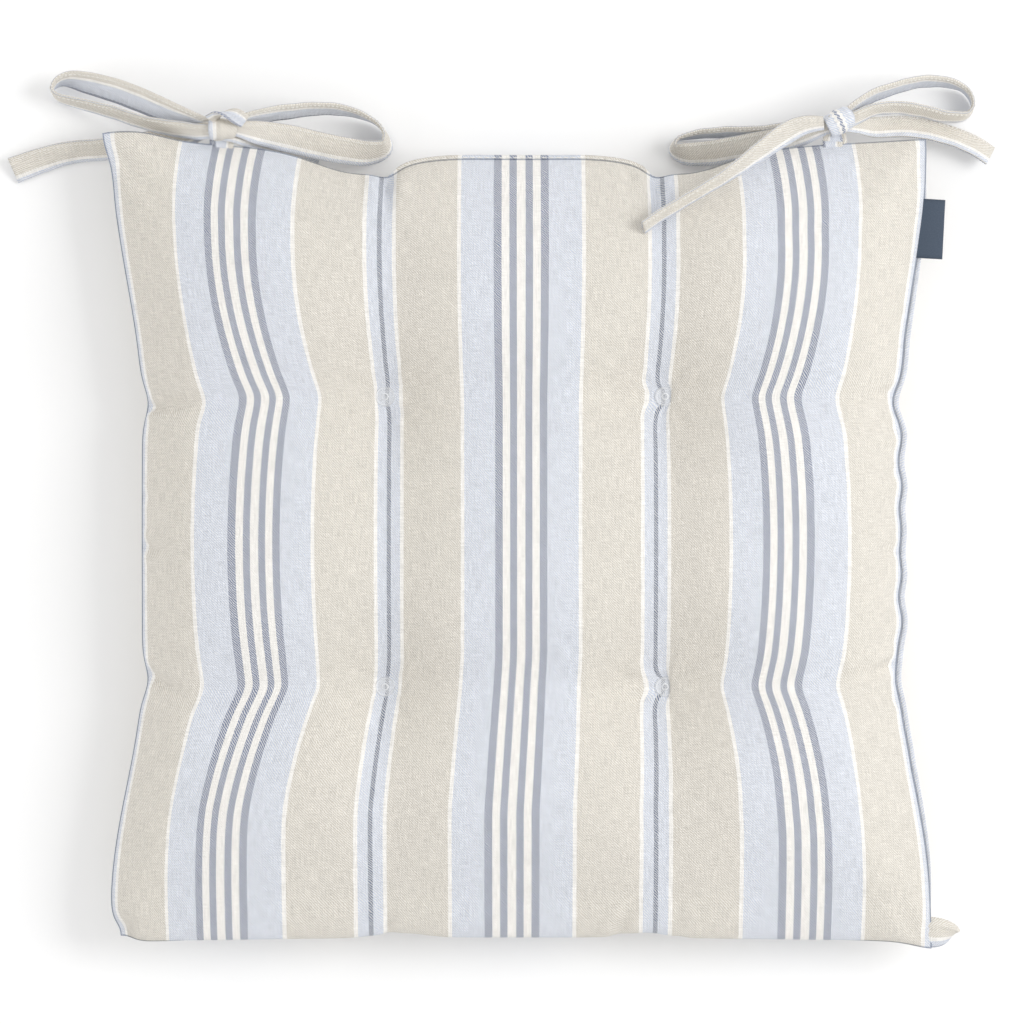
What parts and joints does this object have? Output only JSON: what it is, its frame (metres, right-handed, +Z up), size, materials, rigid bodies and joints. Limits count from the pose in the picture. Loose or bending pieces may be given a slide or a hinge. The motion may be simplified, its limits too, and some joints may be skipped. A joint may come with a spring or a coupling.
{
  "type": "chair seat pad",
  "caption": "Square tufted seat pad in striped woven cotton, pulled into puffs by clear button discs, with fabric ties knotted in bows at the rear corners.",
  "frame": {"origin": "middle of the underside, on the plane that the pad rests on", "axes": "+X to the pad's right, +Y to the rear edge that carries the ties, +Z up"},
  "size_m": [0.4862, 0.4269, 0.072],
  "materials": {
    "striped_cotton": "matte",
    "striped_tape": "matte",
    "fibre_wadding": "matte",
    "white_thread": "satin",
    "clear_plastic": "gloss",
    "label_weave": "satin"
  },
  "bodies": {
    "root": {"top_panel": "striped_cotton", "bottom_panel": "striped_cotton", "fibre_fill": "fibre_wadding", "edge_seam_thread": "white_thread", "closing_stitch": "white_thread", "left_tie_anchor_stitch": "white_thread", "right_tie_anchor_stitch": "white_thread", "label_stitch": "white_thread", "tuft_disc_top_1": "clear_plastic", "tuft_disc_top_2": "clear_plastic", "tuft_disc_top_3": "clear_plastic", "tuft_disc_top_4": "clear_plastic", "tuft_disc_bottom_1": "clear_plastic", "tuft_disc_bottom_2": "clear_plastic", "tuft_disc_bottom_3": "clear_plastic", "tuft_disc_bottom_4": "clear_plastic", "tuft_stem_1": "clear_plastic", "tuft_stem_2": "clear_plastic", "tuft_stem_3": "clear_plastic", "tuft_stem_4": "clear_plastic"},
    "left_bow": {"left_outer_tie": "striped_tape", "left_inner_tie": "striped_tape", "left_outer_tie_stitch": "white_thread", "left_inner_tie_stitch": "white_thread", "left_knot": "striped_tape"},
    "right_bow": {"right_outer_tie": "striped_tape", "right_inner_tie": "striped_tape", "right_outer_tie_stitch": "white_thread", "right_inner_tie_stitch": "white_thread", "right_knot": "striped_tape"},
    "right_tail": {"right_outer_tie_tail": "striped_tape", "right_outer_tail_stitch": "white_thread"},
    "label_flap": {"side_label": "label_weave"}
  },
  "joints": [
    {"name": "left_bow_lift", "type": "hinge", "parent": "root", "child": "left_bow", "pos_m": [-0.146, 0.1943, 0.0315], "axis": [0.9871, -0.1599, 0], "range_deg": [0, 45]},
    {"name": "right_bow_lift", "type": "hinge", "parent": "root", "child": "right_bow", "pos_m": [0.153, 0.1943, 0.0315], "axis": [0.9871, 0.1599, 0], "range_deg": [0, 45]},
    {"name": "right_tail_trail", "type": "hinge", "parent": "right_bow", "child": "right_tail", "pos_m": [0.148, 0.2035, 0.041], "axis": [0.9871, 0.1599, 0], "range_deg": [-56.25, 0]},
    {"name": "label_bend", "type": "hinge", "parent": "root", "child": "label_flap", "pos_m": [0.1975, 0.152, 0.031], "axis": [0.0523, 0.9986, 0], "range_deg": [-60, 60], "stiffness_Nm_per_rad": 0.0005}
  ],
  "couplings": [
    {"joint": "right_tail_trail", "follows": "right_bow_lift", "ratio": -1.25}
  ]
}
